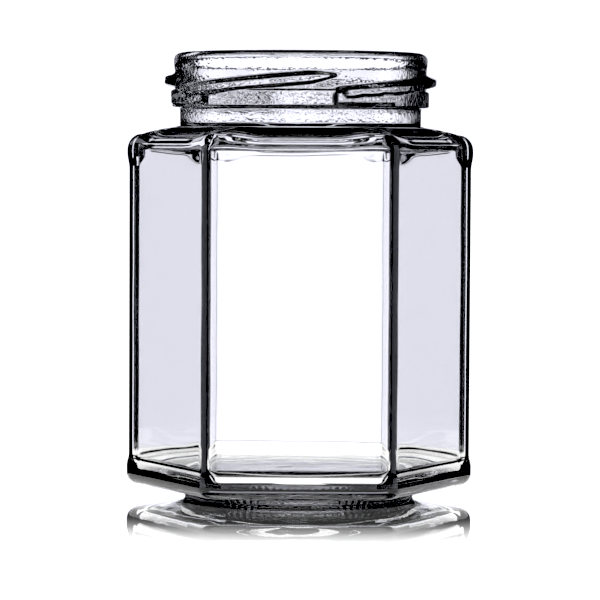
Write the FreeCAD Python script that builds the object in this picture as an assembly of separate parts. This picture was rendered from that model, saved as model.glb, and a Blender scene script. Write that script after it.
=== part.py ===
"""Hexagonal glass jar with a round twist-off mouth: one piece of blown clear glass.

The jar stands upright on its foot ring.  The origin is the middle of the foot, at the table, and
+Z runs up through the mouth.  Two of the six panels face -Y and +Y, so two upright corners lie on
-X and +X.  All sizes are in millimetres and all angles in degrees.
"""

import FreeCAD, Part
import math
import os

# Overall
JAR_HEIGHT = 101.5
ACROSS_FLATS = 69.5

# Glass
WALL = 2.2
NECK_WALL = 1.8
BASE_RISE = 5.6
INSIDE_ROUND = 4.4

# Body: six sunk panels between a proud band at the heel and one under the shoulder
CORNER_RADIUS = 6.5
BAND_PROUD = 0.47
BAND_BEVEL = 2.6
LOWER_BAND = 4.2
UPPER_BAND = 2.0
HEEL_HEIGHT = 2.8
HEEL_RADIUS = 2.6

# Shoulder and neck
SHOULDER_WIDTH = 7.1
SHOULDER_RISE = 1.9
SHOULDER_ROUND = 3.2
SHOULDER_DROP = 3.7
NECK_HEIGHT = 4.1

# Mouth, made for a lid that twists on over four lugs
FINISH_HEIGHT = 12.5
FINISH_STEP = 1.15
BEAD_PROUD = 0.65
BEAD_HEIGHT = 3.9
BEAD_ROUND = 0.6
LIP_PROUD = 0.3
LIP_HEIGHT = 1.6
LIP_ROUND = 1.2
LIP_EASE = 0.7

# Lugs on the mouth, and the stop under each
LUG_COUNT = 4
LUG_PROUD = 2.3
LUG_HEIGHT = 3.0
LUG_THINNING = 0.35
LUG_DROP = 0.7
LUG_RISE = 3.5
LUG_SWEEP = 94.5
LUG_START = -167.3
STOP_PROUD = 1.6
STOP_SWEEP = 30.0

# Foot
FOOT_INSET = 8.5
FOOT_STEP = 1.7
FOOT_FLARE = 0.7
FOOT_ROUND = 0.6
FOOT_FACE = 2.4
PUSH_UP = 1.5

# How far one shape runs into the next where the two are joined
JOIN = 1.0

# Sizes that follow from the ones above
HALF_FLATS = ACROSS_FLATS / 2
NECK_RADIUS = HALF_FLATS - SHOULDER_WIDTH
BORE_RADIUS = NECK_RADIUS - NECK_WALL
FINISH_RADIUS = NECK_RADIUS + FINISH_STEP
FOOT_RADIUS = HALF_FLATS - FOOT_INSET
NECK_TOP = JAR_HEIGHT - FINISH_HEIGHT
BEAD_TOP = NECK_TOP + BEAD_HEIGHT
SHOULDER_TOP = NECK_TOP - NECK_HEIGHT
SHOULDER_EDGE = SHOULDER_TOP - SHOULDER_RISE
WALL_TOP = SHOULDER_EDGE - SHOULDER_DROP


def point(radius, angle, z):
    """The point at this distance from the axis, this far round from +X, at height z."""
    turn = math.radians(angle)
    return FreeCAD.Vector(radius * math.cos(turn), radius * math.sin(turn), z)


def hexagon(offset, z):
    """Closed wire of the body's hexagon, grown by offset all round, with its six corners rounded.

    Each corner is an arc whose middle lies on a corner direction; a straight side follows it.
    """
    radius = max(CORNER_RADIUS + offset, 0.6)
    centre_out = (HALF_FLATS + offset - radius) / math.cos(math.radians(30))
    corners = []
    for side in range(6):
        middle = 60 * side
        centre = point(centre_out, middle, z)
        corners.append([centre + point(radius, middle + turn, 0) for turn in (-30, 0, 30)])
    edges = []
    for side, (start, crest, end) in enumerate(corners):
        edges.append(Part.Arc(start, crest, end).toShape())
        edges.append(Part.makeLine(end, corners[(side + 1) % 6][0]))
    return Part.Wire(edges)


def ring(radius, z):
    """Circle in twelve arcs, a short one to meet each corner and a long one to meet each side."""
    edges = []
    for side in range(6):
        middle = 60 * side
        for start, end in ((middle - 12, middle + 12), (middle + 12, middle + 48)):
            ends = [point(radius, angle, z) for angle in (start, (start + end) / 2, end)]
            edges.append(Part.Arc(*ends).toShape())
    return Part.Wire(edges)


def quarter_round(offset, inset, upright_z, level_z):
    """Hexagon wires along a quarter ellipse, from an upright wall over to a level face.

    The wall stands at offset and ends at upright_z; the level face lies inset from it, at level_z.
    """
    wires = []
    for step in range(7):
        turn = math.radians(15 * step)
        z = upright_z + (level_z - upright_z) * math.sin(turn)
        wires.append(hexagon(offset - inset * (1 - math.cos(turn)), z))
    return wires


def straight(sections):
    """Solid with straight walls from each wire to the next."""
    return Part.makeLoft(sections, True, True)


def flowing(sections):
    """Solid whose wall runs smoothly through all the wires."""
    return Part.makeLoft(sections, True, False)


def turned(profile):
    """Solid turned about Z from (radius, z, rounding) corners that start and end on the axis."""
    corners = [FreeCAD.Vector(radius, 0, z) for radius, z, rounding in profile]
    edges = []
    reached = corners[0]
    for index in range(1, len(profile) - 1):
        here = corners[index]
        rounding = profile[index][2]
        if rounding > 0:
            back = (corners[index - 1] - here).normalize()
            onward = (corners[index + 1] - here).normalize()
            inward = (back + onward).normalize()
            half = back.getAngle(onward) / 2
            entry = here + back * (rounding / math.tan(half))
            leaving = here + onward * (rounding / math.tan(half))
            crest = here + inward * (rounding / math.sin(half) - rounding)
            edges.append(Part.makeLine(reached, entry))
            edges.append(Part.Arc(entry, crest, leaving).toShape())
            reached = leaving
        else:
            edges.append(Part.makeLine(reached, here))
            reached = here
    edges.append(Part.makeLine(reached, corners[-1]))
    edges.append(Part.makeLine(corners[-1], corners[0]))
    face = Part.Face(Part.Wire(edges))
    return face.revolve(FreeCAD.Vector(0, 0, 0), FreeCAD.Vector(0, 0, 1), 360)


def joined(solids):
    """One solid from solids that meet or overlap, without the seams between level faces."""
    return solids[0].multiFuse(solids[1:]).removeSplitter()


def body():
    """The hexagonal body: underside, rounded heel, panels between their bands, and shoulder."""
    heel_top = HEEL_HEIGHT + HEEL_RADIUS
    panel_low = HEEL_HEIGHT + LOWER_BAND + BAND_BEVEL
    panel_high = WALL_TOP - UPPER_BAND - BAND_BEVEL
    heel = quarter_round(BAND_PROUD, HEEL_RADIUS, heel_top, HEEL_HEIGHT)
    shoulder = quarter_round(BAND_PROUD, SHOULDER_ROUND, WALL_TOP, SHOULDER_EDGE)
    wall = [
        hexagon(BAND_PROUD, heel_top),
        hexagon(BAND_PROUD, panel_low - BAND_BEVEL),
        hexagon(0, panel_low),
        hexagon(0, panel_high),
        hexagon(BAND_PROUD, panel_high + BAND_BEVEL),
        hexagon(BAND_PROUD, WALL_TOP),
    ]
    underside = [ring(FOOT_RADIUS + FOOT_FLARE, FOOT_STEP), heel[-1]]
    top = [shoulder[-1], ring(NECK_RADIUS, SHOULDER_TOP)]
    return joined(
        [straight(underside), flowing(heel), straight(wall), flowing(shoulder), straight(top)]
    )


def foot():
    """The round foot ring that the jar stands on, with the glass above it up into the body."""
    return turned(
        [
            (0, 0, 0),
            (FOOT_RADIUS, 0, FOOT_ROUND),
            (FOOT_RADIUS + FOOT_FLARE, FOOT_STEP, 0),
            (FOOT_RADIUS + FOOT_FLARE, HEEL_HEIGHT + JOIN, 0),
            (0, HEEL_HEIGHT + JOIN, 0),
        ]
    )


def push_up():
    """The room under the jar, inside the foot ring, rising a little to the middle."""
    inner = FOOT_RADIUS - FOOT_FACE
    return turned(
        [
            (0, -JOIN, 0),
            (inner, -JOIN, 0),
            (inner, 0, 0),
            (inner - PUSH_UP, 0.6 * PUSH_UP, PUSH_UP),
            (0, PUSH_UP, 0),
        ]
    )


def mouth():
    """The round neck, the bead below the lid, the plain wall of the mouth, and its lip."""
    bead_radius = FINISH_RADIUS + BEAD_PROUD
    lip_radius = FINISH_RADIUS + LIP_PROUD
    lip_low = JAR_HEIGHT - LIP_HEIGHT
    return turned(
        [
            (0, SHOULDER_TOP - JOIN, 0),
            (NECK_RADIUS, SHOULDER_TOP - JOIN, 0),
            (NECK_RADIUS, NECK_TOP, BEAD_ROUND),
            (bead_radius, NECK_TOP, BEAD_ROUND),
            (bead_radius, BEAD_TOP, BEAD_ROUND),
            (FINISH_RADIUS, BEAD_TOP, 0),
            (FINISH_RADIUS, lip_low - LIP_PROUD, 0),
            (lip_radius, lip_low, 0),
            (lip_radius, JAR_HEIGHT, LIP_ROUND),
            (0, JAR_HEIGHT, 0),
        ]
    )


def lug_section(angle, middle, proud, height):
    """Ridge wire on the wall of the mouth, in the upright plane at this angle.

    Its flanks slope in from the wall to a rounded crest; behind the wall it runs into the glass.
    """
    half = height / 2
    shank = FINISH_RADIUS + proud - 0.3 * half
    corners = [
        point(shank, angle, middle + 0.3 * half),
        point(FINISH_RADIUS, angle, middle + half),
        point(FINISH_RADIUS - JOIN, angle, middle + half),
        point(FINISH_RADIUS - JOIN, angle, middle - half),
        point(FINISH_RADIUS, angle, middle - half),
        point(shank, angle, middle - 0.3 * half),
    ]
    top = point(FINISH_RADIUS + proud, angle, middle)
    sides = [Part.makeLine(start, end) for start, end in zip(corners, corners[1:])]
    return Part.Wire(sides + [Part.Arc(corners[-1], top, corners[0]).toShape()])


def lug(start):
    """One lug: a ridge that leaves the bead and climbs round the mouth, thinning as it goes."""
    wires = []
    steps = 12
    for step in range(steps + 1):
        share = step / steps
        swell = math.sin(math.pi * min(share, 1 - share, 0.1) / 0.2)
        middle = BEAD_TOP - LUG_DROP + LUG_RISE * share
        proud = LUG_PROUD * (0.05 + 0.95 * swell)
        height = LUG_HEIGHT * (1 - LUG_THINNING * share) * (0.6 + 0.4 * swell)
        wires.append(lug_section(start + LUG_SWEEP * share, middle, proud, height))
    return straight(wires)


def stop(start):
    """The block under a lug's first stretch, down over the bead, where the lid's lug comes to rest."""
    inner = FINISH_RADIUS - JOIN
    outer = FINISH_RADIUS + STOP_PROUD
    first = start + 3
    low = NECK_TOP + 0.3
    corners = [
        point(inner, first, low),
        point(outer - BEAD_ROUND, first, low),
        point(outer, first, low + BEAD_ROUND),
        point(outer, first, BEAD_TOP),
        point(inner, first, BEAD_TOP),
    ]
    face = Part.Face(Part.makePolygon(corners + [corners[0]]))
    return face.revolve(FreeCAD.Vector(0, 0, 0), FreeCAD.Vector(0, 0, 1), STOP_SWEEP)


def room():
    """The room inside the jar: a hexagon with a rounded floor and shoulder, and the round bore."""
    floor_high = BASE_RISE + INSIDE_ROUND
    edge = SHOULDER_EDGE - WALL
    wall_high = edge - SHOULDER_DROP
    floor = quarter_round(-WALL, INSIDE_ROUND, floor_high, BASE_RISE)
    wall = [hexagon(-WALL, floor_high), hexagon(-WALL, wall_high)]
    shoulder = quarter_round(-WALL, SHOULDER_ROUND, wall_high, edge)
    top = [shoulder[-1], ring(BORE_RADIUS, SHOULDER_TOP)]
    bore = turned(
        [
            (0, SHOULDER_TOP - JOIN, 0),
            (BORE_RADIUS, SHOULDER_TOP - JOIN, 0),
            (BORE_RADIUS, JAR_HEIGHT - LIP_EASE, 0),
            (BORE_RADIUS + LIP_EASE, JAR_HEIGHT, 0),
            (BORE_RADIUS + LIP_EASE, JAR_HEIGHT + JOIN, 0),
            (0, JAR_HEIGHT + JOIN, 0),
        ]
    )
    return joined([flowing(floor), straight(wall), flowing(shoulder), straight(top), bore])


def jar():
    """The whole jar as one solid."""
    glass = [foot(), mouth()]
    for count in range(LUG_COUNT):
        start = LUG_START + count * 360 / LUG_COUNT
        glass.append(lug(start))
        glass.append(stop(start))
    return body().multiFuse(glass).cut(room()).cut(push_up())


os.makedirs("parts", exist_ok=True)
jar().Solids[0].exportStep("parts/jar.step")
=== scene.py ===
"""Clear hexagonal glass jar, empty and open, standing on a glossy white table."""

import bpy
import math
import numpy as np
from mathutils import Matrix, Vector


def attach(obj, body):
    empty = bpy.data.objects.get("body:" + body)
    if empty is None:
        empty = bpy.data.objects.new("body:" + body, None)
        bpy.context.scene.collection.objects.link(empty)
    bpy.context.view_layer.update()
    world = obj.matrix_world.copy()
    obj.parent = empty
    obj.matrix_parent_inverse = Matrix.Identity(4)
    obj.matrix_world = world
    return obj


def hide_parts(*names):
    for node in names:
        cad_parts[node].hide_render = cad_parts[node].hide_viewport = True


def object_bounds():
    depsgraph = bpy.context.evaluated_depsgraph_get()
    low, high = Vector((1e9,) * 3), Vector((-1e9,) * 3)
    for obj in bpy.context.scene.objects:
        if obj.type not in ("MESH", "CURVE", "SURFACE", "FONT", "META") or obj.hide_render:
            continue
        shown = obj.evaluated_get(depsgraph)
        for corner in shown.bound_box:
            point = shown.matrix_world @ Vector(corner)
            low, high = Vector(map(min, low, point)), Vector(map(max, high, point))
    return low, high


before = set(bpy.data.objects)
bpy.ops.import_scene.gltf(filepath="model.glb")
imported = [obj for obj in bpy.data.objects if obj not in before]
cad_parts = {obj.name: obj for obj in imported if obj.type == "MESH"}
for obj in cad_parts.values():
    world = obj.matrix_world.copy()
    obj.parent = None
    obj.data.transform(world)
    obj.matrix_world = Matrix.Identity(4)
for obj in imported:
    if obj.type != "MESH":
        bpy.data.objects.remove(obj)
cad_low, cad_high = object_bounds()

# ---------------------------------------------------------------------------------------------
# The jar.  One piece of clear soda-lime glass, blown in a mould: a round foot with a knurled
# bearing ring, six sunk panels between proud bands, a low shoulder, and a round mouth with a bead
# and four lugs.  The skin is one closed surface, from the middle of the underside up the outside,
# over the lip and down the inside to the middle of the floor.
# Sizes here are millimetres and heights are above the table; the mesh is scaled to metres at the
# end.  The height and the width over the flats are those of the frame.

JAR_HEIGHT = round(1000 * cad_high[2], 2)
BAND = 0.47
HALF_FLATS = round(1000 * cad_high[1], 2) - BAND
CORNER = 6.5
LEAST_CORNER = 0.6
WALL = 2.2
AT_MIDDLE = 0.02

# Underside and foot
PUSH_UP = 1.5
HOLLOW = 1.2
HOLLOW_RADIUS = 22.2
RING_INSIDE = 24.0
RING_OUTSIDE = 25.5
FOOT = 26.25
FOOT_EASE = 0.8
FOOT_EASED = 26.3
FOOT_TOP = 1.7
FOOT_FLARED = 26.95

# Body: heel, lower band, sunk panels and upper band
HEEL_LOW = 2.8
HEEL_ROUND = 2.6
LOWER_BAND_TOP = 7.0
BEVEL = 2.6
PANEL_TOP = 75.0
UPPER_BAND_LOW = 78.7
WALL_TOP = 79.3

# Shoulder and neck
SHOULDER_ROUND = 3.2
SHOULDER_LOW = 83.0
SHOULDER_TOP = 84.9
NECK = 27.65
NECK_FILLET = 0.6

# Mouth: bead, plain wall and lip
FINISH = 28.8
BEAD_LOW = 89.0
BEAD_TOP = 92.9
BEAD_ROUND = 0.6
BEAD_PROUD = 0.65
FINISH_STEP = 0.05
FINISH_STRAIGHT = 96.4
LIP_PROUD = 0.3
LIP_ROUND = 1.6

# Inside: bore, shoulder, wall and floor
BORE = 26.3
LIP_EASE = 0.7
INNER_NECK = 85.2
INNER_SHOULDER = 82.0
INNER_SHOULDER_IN = 5.4
INNER_WALL_TOP = 79.2
INNER_WALL_LOW = 9.4
FLOOR_EDGE = 5.6
FLOOR_MIDDLE = 5.9
FLOOR_IN = 6.0
FLOOR_RING = 20.0

# Points in each ring of the skin
COLUMNS = 400


def wall(start, end, steps, way="straight"):
    """Rows of the skin from one level up to, not including, the next.

    A level is (height, half width over the flats, corner radius, ring radius, roundness).
    Along "straight" every value goes evenly.  "upright" is a quarter ellipse that sets off upright
    and arrives level, so height goes as sin and reach as 1 - cos; "level" is the other way about.
    "ease" keeps height even while the reach swings over as half a cosine wave.
    """
    share = np.linspace(0, 1, steps, endpoint=False)
    turn = share * math.pi / 2
    climb, reach = {
        "straight": (share, share),
        "upright": (np.sin(turn), 1 - np.cos(turn)),
        "level": (1 - np.cos(turn), np.sin(turn)),
        "ease": (share, (1 - np.cos(math.pi * share)) / 2),
    }[way]
    first = np.array(start)
    change = np.array(end) - first
    rows = first + reach[:, None] * change
    rows[:, 0] = first[0] + climb * change[0]
    return rows


def round_level(height, radius):
    """A level where the jar is round."""
    return (height, HALF_FLATS, CORNER, radius, 1.0)


def hex_level(height, grown, ring=FOOT):
    """A level where the jar is a hexagon, grown by this much all round."""
    return (height, HALF_FLATS + grown, max(CORNER + grown, LEAST_CORNER), ring, 0.0)


underside = [
    wall(round_level(PUSH_UP, AT_MIDDLE), round_level(HOLLOW, HOLLOW_RADIUS), 4),
    wall(round_level(HOLLOW, HOLLOW_RADIUS), round_level(0.0, RING_INSIDE), 6, "ease"),
    wall(round_level(0.0, RING_INSIDE), round_level(0.0, RING_OUTSIDE), 4),
    wall(round_level(0.0, RING_OUTSIDE), round_level(FOOT_EASE, FOOT_EASED), 6, "level"),
    wall(round_level(FOOT_EASE, FOOT_EASED), round_level(FOOT_TOP, FOOT_FLARED), 4),
    wall(round_level(FOOT_TOP, FOOT_FLARED), hex_level(HEEL_LOW, BAND - HEEL_ROUND, FOOT_FLARED), 8),
]
heel_top = HEEL_LOW + HEEL_ROUND
panel_low = LOWER_BAND_TOP + BEVEL
body = [
    wall(hex_level(HEEL_LOW, BAND - HEEL_ROUND), hex_level(heel_top, BAND), 10, "level"),
    wall(hex_level(heel_top, BAND), hex_level(LOWER_BAND_TOP, BAND), 3),
    wall(hex_level(LOWER_BAND_TOP, BAND), hex_level(panel_low, 0), 8, "ease"),
    wall(hex_level(panel_low, 0), hex_level(PANEL_TOP, 0), 16),
    wall(hex_level(PANEL_TOP, 0), hex_level(UPPER_BAND_LOW, BAND), 8, "ease"),
    wall(hex_level(UPPER_BAND_LOW, BAND), hex_level(WALL_TOP, BAND), 2),
]
shoulder_edge = hex_level(SHOULDER_LOW, BAND - SHOULDER_ROUND, NECK)
under_bead = round_level(BEAD_LOW, FINISH + FINISH_STEP)
bead_face_low = round_level(BEAD_LOW + BEAD_ROUND, FINISH + BEAD_PROUD)
bead_face_top = round_level(BEAD_TOP - BEAD_ROUND, FINISH + BEAD_PROUD)
over_bead = round_level(BEAD_TOP, FINISH + FINISH_STEP)
shoulder_and_bead = [
    wall(hex_level(WALL_TOP, BAND), shoulder_edge, 12, "upright"),
    wall(shoulder_edge, round_level(SHOULDER_TOP, NECK), 6),
    wall(round_level(SHOULDER_TOP, NECK), round_level(BEAD_LOW - NECK_FILLET, NECK), 5),
    wall(round_level(BEAD_LOW - NECK_FILLET, NECK), round_level(BEAD_LOW, NECK + NECK_FILLET), 4, "upright"),
    wall(round_level(BEAD_LOW, NECK + NECK_FILLET), under_bead, 2),
    wall(under_bead, bead_face_low, 5, "level"),
    wall(bead_face_low, bead_face_top, 6),
    wall(bead_face_top, over_bead, 4, "upright"),
]
lip_low = JAR_HEIGHT - LIP_ROUND
lip_face = FINISH + LIP_PROUD
mouth = [
    wall(over_bead, round_level(FINISH_STRAIGHT, FINISH), 16),
    wall(round_level(FINISH_STRAIGHT, FINISH), round_level(lip_low, lip_face), 12, "ease"),
    wall(round_level(lip_low, lip_face), round_level(JAR_HEIGHT, lip_face - LIP_ROUND), 10, "upright"),
]
inside = [
    wall(round_level(JAR_HEIGHT, lip_face - LIP_ROUND), round_level(JAR_HEIGHT, BORE + LIP_EASE), 3),
    wall(round_level(JAR_HEIGHT, BORE + LIP_EASE), round_level(JAR_HEIGHT - LIP_EASE, BORE), 6, "level"),
    wall(round_level(JAR_HEIGHT - LIP_EASE, BORE), round_level(INNER_NECK, BORE), 30),
    wall(round_level(INNER_NECK, BORE), hex_level(INNER_SHOULDER, -INNER_SHOULDER_IN, BORE), 6),
    wall(hex_level(INNER_SHOULDER, -INNER_SHOULDER_IN), hex_level(INNER_WALL_TOP, -WALL), 8, "level"),
    wall(hex_level(INNER_WALL_TOP, -WALL), hex_level(INNER_WALL_LOW, -WALL), 15),
    wall(hex_level(INNER_WALL_LOW, -WALL), hex_level(FLOOR_EDGE, -FLOOR_IN, FLOOR_RING), 9, "upright"),
    wall(hex_level(FLOOR_EDGE, -FLOOR_IN, FLOOR_RING), round_level(FLOOR_MIDDLE, AT_MIDDLE), 5),
]
outside = underside + body + shoulder_and_bead + mouth
levels = np.vstack(outside + inside)
outer_rows = sum(len(part) for part in outside)

# Columns stand closer together at the six corners, where the wall turns.
CROWDING = 0.35
even = np.arange(COLUMNS) * 2 * math.pi / COLUMNS
column = even - CROWDING * np.sin(6 * even) / 6
height, flats, corner, ring, roundness = [values[:, None] for values in levels.T]
around = column[None, :]
on_outside = np.arange(len(levels))[:, None] < outer_rows


def hexagon_reach(turn, flats, corner):
    """Distance from the axis to a hexagon with rounded corners, in every direction turn.

    Near a corner it is the far crossing with the corner's circle, c cos d + sqrt(r^2 - c^2 sin^2 d)
    with d the turn from the corner and c the distance of the circle's middle; elsewhere it is the
    straight side, the half width over the cosine of the turn from the side's middle.
    """
    off_corner = (turn + math.pi / 6) % (math.pi / 3) - math.pi / 6
    middle = (flats - corner) / math.cos(math.pi / 6)
    meets = np.arctan2(corner / 2, middle + corner * math.cos(math.pi / 6))
    under_root = np.clip(corner**2 - (middle * np.sin(off_corner)) ** 2, 0, None)
    on_arc = middle * np.cos(off_corner) + np.sqrt(under_root)
    on_side = flats / np.cos(math.pi / 6 - np.abs(off_corner))
    return np.where(np.abs(off_corner) < meets, on_arc, on_side)


def smooth(value, low, high):
    """0 below low, 1 above high, and 3 s^2 - 2 s^3 in between."""
    share = np.clip((value - low) / (high - low), 0, 1)
    return share * share * (3 - 2 * share)


# Inside, the two corners at the sides are blown rounder than the mould's, and the other four are
# tighter.  The upper band stands proud at the corners and dies away across the panels.
SIDE_SOFTER = 3.0
FRONT_SOFTER = -1.5
AT_FRONT_CORNERS = 0.4
BAND_FADES = (math.radians(4), math.radians(18))
to_side = smooth(np.cos(2 * around), 0.0, 0.5)
softer = SIDE_SOFTER * to_side + FRONT_SOFTER * (1 - to_side)
corner = corner + np.where(on_outside, 0, softer * (1 - roundness))
from_corner = np.abs((around + math.pi / 6) % (math.pi / 3) - math.pi / 6)
proud_share = (1 - smooth(from_corner, *BAND_FADES)) * (AT_FRONT_CORNERS + (1 - AT_FRONT_CORNERS) * to_side)
above_middle = on_outside & (height > JAR_HEIGHT / 2)
band = np.clip(flats - HALF_FLATS, 0, None)
flats = flats - np.where(above_middle, band * (1 - proud_share), 0)
reach = (1 - roundness) * hexagon_reach(around, flats, corner) + roundness * ring

# The four lugs and the stops under them.  A lug is a ridge that leaves the bead, climbs round the
# mouth and ends in a point; a stop fills the gap between a lug's first stretch and the bead.
LUG_COUNT = 4
LUG_START = math.radians(-167.3)
LUG_SWEEP = math.radians(94.5)
LUG_PROUD = 2.3
LUG_HALF = 1.6
LUG_DROP = 1.0
LUG_RISE = 4.2
LUG_SWELLS_BY = 0.08
LUG_SINKS_FROM = 0.93
POINT_FROM = 0.84
POINT_THINNING = 0.75
UPPER_FLANK = 0.8
LOWER_FLANK = 0.45
STOP_PROUD = 1.6
STOP_SWEEP = math.radians(32.5)
STOP_FOOT = 0.9
STOP_RISES = (0.01, 0.05)
STOP_END = 0.03
STOP_TO_LUG = (-0.1, 0.3)


def lugs_and_stops(turn, height):
    """How far the outside stands beyond the mouth's plain wall, at each turn and height.

    Along a lug, share goes from 0 to 1 and its middle climbs evenly.  Across it, the ridge rises
    smoothly over each flank, a share of the half height.  The largest of all lugs and stops counts.
    """
    proud = np.zeros(np.broadcast(turn, height).shape)
    for count in range(LUG_COUNT):
        along = (turn - LUG_START - count * 2 * math.pi / LUG_COUNT) % (2 * math.pi)
        share = along / LUG_SWEEP
        swell = smooth(share, 0, LUG_SWELLS_BY) * (1 - smooth(share, LUG_SINKS_FROM, 1))
        middle = BEAD_TOP - LUG_DROP + LUG_RISE * share
        half = LUG_HALF * (1 - POINT_THINNING * smooth(share, POINT_FROM, 1))
        above = (half - height + middle) / (UPPER_FLANK * half)
        below = (half + height - middle) / (LOWER_FLANK * half)
        lug = LUG_PROUD * swell * smooth(np.minimum(above, below), 0, 1)
        ends = 1 - smooth(along, STOP_SWEEP - STOP_END, STOP_SWEEP + STOP_END)
        stop = STOP_PROUD * smooth(along, *STOP_RISES) * ends
        stop = stop * smooth(height, BEAD_LOW, BEAD_LOW + STOP_FOOT)
        stop = stop * (1 - smooth(height - middle, *STOP_TO_LUG))
        proud = np.maximum(proud, np.maximum(lug, stop))
    return proud


on_mouth = on_outside & (height > BEAD_LOW) & (height < lip_low)
reach = np.where(on_mouth, np.maximum(reach, FINISH + lugs_and_stops(around, height)), reach)

# The pressed outside follows the mould; the blown inside of the body is a little uneven.  A wave
# is (how many go round the jar, its twist for each millimetre of height, where it starts).
WAVE_DEPTH = 0.045
WAVES = ((5, 0.11, 0.4), (8, -0.17, 2.1), (13, 0.29, 4.4), (3, -0.37, 1.3))
WAVES_BEGIN = (9.0, 14.0)
WAVES_END = (76.0, 80.0)
uneven = sum(np.cos(turns * around + twist * height + start) for turns, twist, start in WAVES) / 2
in_body = ~on_outside * smooth(height, *WAVES_BEGIN) * (1 - smooth(height, *WAVES_END))
reach = reach + WAVE_DEPTH * uneven * in_body

# The bearing ring is knurled all round, and the shoulder sags a little between the corners.
RIBS = 104
KNURL = 0.15
KNURL_FROM = (24.0, 25.6)
KNURL_UP_TO = (1.5, 2.2)
KNURL_LIFTS = (0.02, 0.3)
SAG = 0.9
SAG_FADES = (math.radians(3), math.radians(16))
SAG_BEGINS = (79.3, 82.5)
SAG_ENDS = (83.4, 85.0)
on_ring = on_outside * smooth(ring * roundness, *KNURL_FROM) * (1 - smooth(height, *KNURL_UP_TO))
knurl = KNURL * on_ring * smooth(height, *KNURL_LIFTS) * np.cos(RIBS * around)
on_shoulder = smooth(height, *SAG_BEGINS) * (1 - smooth(height, *SAG_ENDS))
sag = SAG * smooth(from_corner, *SAG_FADES) * on_shoulder

x = reach * np.cos(around)
y = reach * np.sin(around)
z = height - sag + knurl
points = np.stack([x, y, z], axis=2).reshape(-1, 3)
poles = np.array([[0, 0, PUSH_UP], [0, 0, levels[-1, 0]]])
points = np.vstack([points, poles]) / 1000

rows = len(levels)
here = np.arange(rows * COLUMNS).reshape(rows, COLUMNS)
onward = np.roll(here, -1, axis=1)
quads = np.stack([here[:-1], onward[:-1], onward[1:], here[1:]], axis=2).reshape(-1, 4)
low_cap = np.stack([np.full(COLUMNS, rows * COLUMNS), onward[0], here[0]], axis=1)
high_cap = np.stack([np.full(COLUMNS, rows * COLUMNS + 1), here[-1], onward[-1]], axis=1)

mesh = bpy.data.meshes.new("jar_glass")
mesh.from_pydata(points.tolist(), [], quads.tolist() + low_cap.tolist() + high_cap.tolist())
mesh.polygons.foreach_set("use_smooth", np.ones(len(mesh.polygons), dtype=bool))
mesh.update()
jar = bpy.data.objects.new("jar_glass", mesh)
bpy.context.scene.collection.objects.link(jar)


def add_node(tree, kind, **sockets):
    """A node of this kind in a tree, each socket set to a value or linked to another's output.

    A socket goes by its name, with underscores for spaces, or by its place, as _0 and _1.
    """
    node = tree.nodes.new("ShaderNode" + kind)
    for name, value in sockets.items():
        place = name[1:]
        socket = node.inputs[int(place) if place.isdigit() else name.replace("_", " ")]
        if isinstance(value, bpy.types.NodeSocket):
            tree.links.new(value, socket)
        else:
            socket.default_value = value
    return node


def add_math(tree, kind, first, second=0.0):
    """The result of a Math node of this kind, on links or numbers."""
    node = add_node(tree, "Math", _0=first, _1=second)
    node.operation = kind
    return node.outputs[0]


def add_ramp(tree, value, start, end, low=0.0, high=1.0):
    """A straight ramp of value, from low at start to high at end and level beyond them."""
    node = add_node(tree, "MapRange", Value=value, From_Min=start, From_Max=end, To_Min=low, To_Max=high)
    return node.outputs["Result"]


GLASS_INDEX = 1.52
ABSORPTION = 20.0
clear_glass = bpy.data.materials.new("clear_glass")
clear_glass.use_nodes = True
glass_tree = clear_glass.node_tree
glass = glass_tree.nodes["Principled BSDF"]
glass.inputs["Base Color"].default_value = (1.0, 1.0, 1.0, 1.0)
glass.inputs["Roughness"].default_value = 0.0
glass.inputs["IOR"].default_value = GLASS_INDEX
glass.inputs["Transmission Weight"].default_value = 1.0
haze = add_node(glass_tree, "VolumeAbsorption", Color=(0.0, 0.0, 0.0, 1.0), Density=ABSORPTION)
glass_tree.links.new(haze.outputs["Volume"], glass_tree.nodes["Material Output"].inputs["Volume"])

# The bore is chilled on the blowing plug, and keeps a fine grain there: strongest behind the bead,
# fainter above it, and none on the outside.  All sizes in the material are metres.
GRAIN = 0.00011
GRAIN_SCALE = 1300.0
GRAIN_ABOVE_BEAD = 0.35
WITHIN_BORE = (0.0273, 0.0268)
OVER_SHOULDER = (0.0855, 0.0875)
PAST_BEAD = (0.0930, 0.0970)
place = add_node(glass_tree, "TexCoord").outputs["Object"]
split = add_node(glass_tree, "SeparateXYZ", Vector=place)
level = add_node(glass_tree, "CombineXYZ", X=split.outputs["X"], Y=split.outputs["Y"])
measure = add_node(glass_tree, "VectorMath", _0=level.outputs["Vector"])
measure.operation = "LENGTH"
from_axis = measure.outputs["Value"]
up = split.outputs["Z"]
speckle = add_node(glass_tree, "TexNoise", Vector=place, Scale=GRAIN_SCALE, Detail=1.0)
grain = add_math(glass_tree, "MULTIPLY", speckle.outputs["Fac"], GRAIN)
grain = add_math(glass_tree, "MULTIPLY", grain, add_ramp(glass_tree, from_axis, *WITHIN_BORE))
grain = add_math(glass_tree, "MULTIPLY", grain, add_ramp(glass_tree, up, *OVER_SHOULDER))
grain = add_math(glass_tree, "MULTIPLY", grain, add_ramp(glass_tree, up, *PAST_BEAD, 1.0, GRAIN_ABOVE_BEAD))

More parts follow.
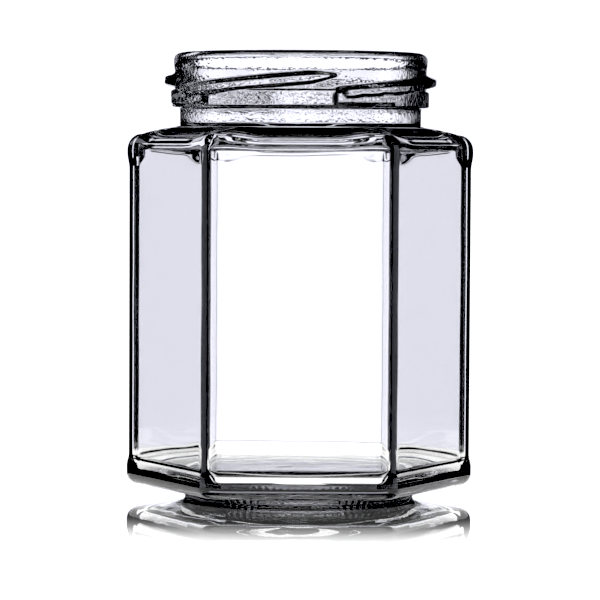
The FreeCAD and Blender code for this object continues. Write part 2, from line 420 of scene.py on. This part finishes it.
# The floor inside settled from the soft gob, and lies in low ripples.
RIPPLE = 0.0004
RIPPLE_SCALE = 120.0
OVER_FOOT = (0.0045, 0.0052)
UNDER_WALL = (0.0075, 0.0062)
WITHIN_HEEL = (0.0315, 0.0295)
settled = add_node(glass_tree, "TexNoise", Vector=place, Scale=RIPPLE_SCALE, Detail=2.0)
ripple = add_math(glass_tree, "MULTIPLY", settled.outputs["Fac"], RIPPLE)
ripple = add_math(glass_tree, "MULTIPLY", ripple, add_ramp(glass_tree, up, *OVER_FOOT))
ripple = add_math(glass_tree, "MULTIPLY", ripple, add_ramp(glass_tree, up, *UNDER_WALL))
ripple = add_math(glass_tree, "MULTIPLY", ripple, add_ramp(glass_tree, from_axis, *WITHIN_HEEL))
relief = add_math(glass_tree, "ADD", grain, ripple)
bump = add_node(glass_tree, "Bump", Height=relief, Strength=1.0, Distance=1.0)
glass_tree.links.new(bump.outputs["Normal"], glass.inputs["Normal"])
mesh.materials.append(clear_glass)
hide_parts("jar")
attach(jar, "root")

# ---------------------------------------------------------------------------------------------
# The table.  A wide white sheet, lit from below, that shines like acrylic close round the jar; right under
# the jar it is a dark mirror, a painted shadow of the jar.

TABLE_HALF = 4.0
table_mesh = bpy.data.meshes.new("table")
table_corners = [(TABLE_HALF * x, TABLE_HALF * y, 0) for x, y in ((-1, -1), (1, -1), (1, 1), (-1, 1))]
table_mesh.from_pydata(table_corners, [], [(0, 1, 2, 3)])
table = bpy.data.objects.new("table", table_mesh)
bpy.context.scene.collection.objects.link(table)
table_white = bpy.data.materials.new("table_white")
table_white.use_nodes = True
table_tree = table_white.node_tree
table_tree.nodes.clear()


def add_step(tree, value, start, end):
    """A smooth step of value from 0 at start to 1 at end: 3 s^2 - 2 s^3, with s the way along."""
    node = add_node(tree, "MapRange", Value=value, From_Min=start, From_Max=end)
    node.interpolation_type = "SMOOTHSTEP"
    return node.outputs["Result"]


# Looked at directly the sheet glows plain white, and mirrors the jar close by where it is seen at a grazing
# angle.  For light that comes through the glass it is a mirror, but glows white where that light meets it at
# less than CLOSE_DIP near the jar, at less than FAR_DIP anywhere, or at more than STEEP_DIP.  Right under
# the jar the sheet is a mirror both ways, below STEEP_DIP for light through the glass, so it shows dark
# there: a painted shadow of the jar.  Dips are degrees off the level; facing is 0 straight down and 1 along
# the sheet.
SHEET_GLOW = 1.4
GRAZING = (0.80, 0.86)
MIRROR_FADES = (0.100, 0.052)
CLEAREST = 0.96
CLOSE_DIP = 38.0
CLOSE_RADIUS = 0.075
CLOSE_EDGE = 0.006
FAR_DIP = 9.0
STEEP_DIP = 60.0
DIP_EDGE = 3
# How far the painted shadow under the jar reaches from the axis, and how soft its edge is, in metres.
PAINTED_SHADOW_RADIUS = 0.034
PAINTED_SHADOW_EDGE = 0.005
on_sheet = add_node(table_tree, "TexCoord").outputs["Object"]
measure = add_node(table_tree, "VectorMath", _0=on_sheet)
measure.operation = "LENGTH"
away = measure.outputs["Value"]
facing = add_node(table_tree, "LayerWeight", Blend=0.5).outputs["Facing"]


def dips_below(angle):
    """1 where the sheet is met at less than angle degrees off the level, else 0, softly."""
    start, end = [1 - math.sin(math.radians(angle + off)) for off in (DIP_EDGE, -DIP_EDGE)]
    return add_step(table_tree, facing, start, end)


grazing = add_step(table_tree, facing, *GRAZING)
near = add_math(table_tree, "MULTIPLY", add_step(table_tree, away, *MIRROR_FADES), CLEAREST)
# Painted shadow: under the jar the sheet is a mirror and never glows when looked at directly, so it shows
# dark like the jar's shadow.
painted_shadow_under_jar = add_step(table_tree, away, PAINTED_SHADOW_RADIUS + PAINTED_SHADOW_EDGE, PAINTED_SHADOW_RADIUS - PAINTED_SHADOW_EDGE)
seen = add_math(table_tree, "MULTIPLY", grazing, near)
seen = add_math(table_tree, "MAXIMUM", seen, painted_shadow_under_jar)

close_by = add_step(table_tree, away, CLOSE_RADIUS + CLOSE_EDGE, CLOSE_RADIUS - CLOSE_EDGE)
shallow = add_math(table_tree, "MULTIPLY", close_by, dips_below(CLOSE_DIP))
shallow = add_math(table_tree, "MAXIMUM", dips_below(FAR_DIP), shallow)
not_grazing = add_math(table_tree, "SUBTRACT", 1.0, grazing)
glowing = add_math(table_tree, "MULTIPLY", shallow, not_grazing)
bent = add_math(table_tree, "SUBTRACT", 1.0, glowing)
# The painted shadow under the jar keeps the sheet a mirror for light through the glass as well.
bent = add_math(table_tree, "MAXIMUM", bent, painted_shadow_under_jar)
bent = add_math(table_tree, "MULTIPLY", bent, dips_below(STEEP_DIP))

direct = add_node(table_tree, "LightPath").outputs["Is Camera Ray"]
through_glass = add_math(table_tree, "SUBTRACT", 1.0, direct)
seen = add_math(table_tree, "MULTIPLY", direct, seen)
bent = add_math(table_tree, "MULTIPLY", through_glass, bent)
mirror = add_math(table_tree, "ADD", seen, bent)
glow = add_node(table_tree, "Emission", Color=(1, 1, 1, 1), Strength=SHEET_GLOW)
shine = add_node(table_tree, "BsdfGlossy", Color=(1, 1, 1, 1), Roughness=0.0)
sheet = add_node(table_tree, "MixShader", _0=mirror, _1=glow.outputs[0], _2=shine.outputs[0])
add_node(table_tree, "OutputMaterial", Surface=sheet.outputs[0])
table_mesh.materials.append(table_white)

# ---------------------------------------------------------------------------------------------
# The light.  Looked at directly the room is plain white.  For light that comes through the glass
# it is dark, with four low white windows in front, behind and at both sides, and two higher ones
# on one diagonal.  Angles are degrees, and the room is the same below the level as above it.

GLOW = 1.2
WHITE = (1.0, 1.005, 1.12, 1)
WINDOW_HALF = 14.0
WINDOW_TOP = 11.5
WINDOW_EDGE = 1.5
HIGH_HALF = 8.0
HIGH_FROM = 12.0
HIGH_TOP = 36.0
HIGH_EDGE = 2.0
HIGH_SILL = 1.0
world = bpy.data.worlds.new("studio")
bpy.context.scene.world = world
world.use_nodes = True
room = world.node_tree
room.nodes.clear()
direction = add_node(room, "TexCoord").outputs["Generated"]
parts = add_node(room, "SeparateXYZ", Vector=direction).outputs
bearing = add_math(room, "ARCTAN2", parts["Y"], parts["X"])
off_square = add_math(room, "MULTIPLY", add_math(room, "PINGPONG", bearing, math.pi / 4), 180 / math.pi)
off_diagonal = add_math(room, "SUBTRACT", 45.0, off_square)
climb = add_math(room, "MULTIPLY", add_math(room, "ARCSINE", parts["Z"]), 180 / math.pi)
tilt = add_math(room, "ABSOLUTE", climb)

low_wide = add_step(room, off_square, WINDOW_HALF + WINDOW_EDGE, WINDOW_HALF - WINDOW_EDGE)
low_tall = add_step(room, tilt, WINDOW_TOP + WINDOW_EDGE, WINDOW_TOP - WINDOW_EDGE)
low_window = add_math(room, "MULTIPLY", low_wide, low_tall)
high_wide = add_step(room, off_diagonal, HIGH_HALF + HIGH_EDGE, HIGH_HALF - HIGH_EDGE)
high_head = add_step(room, tilt, HIGH_TOP + HIGH_EDGE, HIGH_TOP - HIGH_EDGE)
high_sill = add_step(room, tilt, HIGH_FROM - HIGH_SILL, HIGH_FROM + HIGH_SILL)
quarter = add_math(room, "MULTIPLY", parts["X"], parts["Y"])
on_one_diagonal = add_math(room, "LESS_THAN", quarter, 0.0)
high_window = add_math(room, "MULTIPLY", high_wide, high_head)
high_window = add_math(room, "MULTIPLY", high_window, high_sill)
high_window = add_math(room, "MULTIPLY", high_window, on_one_diagonal)

direct = add_node(room, "LightPath").outputs["Is Camera Ray"]
lit = add_math(room, "MAXIMUM", direct, add_math(room, "MAXIMUM", low_window, high_window))
strength = add_math(room, "MULTIPLY", lit, GLOW)
background = add_node(room, "Background", Color=WHITE, Strength=strength)
add_node(room, "OutputWorld", Surface=background.outputs[0])

BLACK = 0.03
view = bpy.context.scene.view_settings
view.view_transform = "Standard"
view.look = "None"
view.use_curve_mapping = True
view.curve_mapping.black_level = (BLACK, BLACK, BLACK)
view.curve_mapping.update()

# ---------------------------------------------------------------------------------------------
# The camera.  A long lens a little below the shoulder, tipped slightly down, and a hair off level.

LENS = 179.8
SENSOR = 36.0
CAMERA_LEFT = 0.0001
CAMERA_BACK = 0.687
CAMERA_HEIGHT = 0.0806
CAMERA_DIP = math.radians(2.96)
CAMERA_LEAN = math.radians(0.3)
SEES_FROM = 0.05
SEES_TO = 50
camera_data = bpy.data.cameras.new("camera")
camera_data.sensor_width = SENSOR
camera_data.lens = LENS
camera_data.clip_start = SEES_FROM
camera_data.clip_end = SEES_TO
camera = bpy.data.objects.new("camera", camera_data)
bpy.context.scene.collection.objects.link(camera)
camera.location = (-CAMERA_LEFT, -CAMERA_BACK, CAMERA_HEIGHT)
camera.rotation_euler = (math.pi / 2 - CAMERA_DIP, -CAMERA_LEAN, 0)
bpy.context.scene.camera = camera
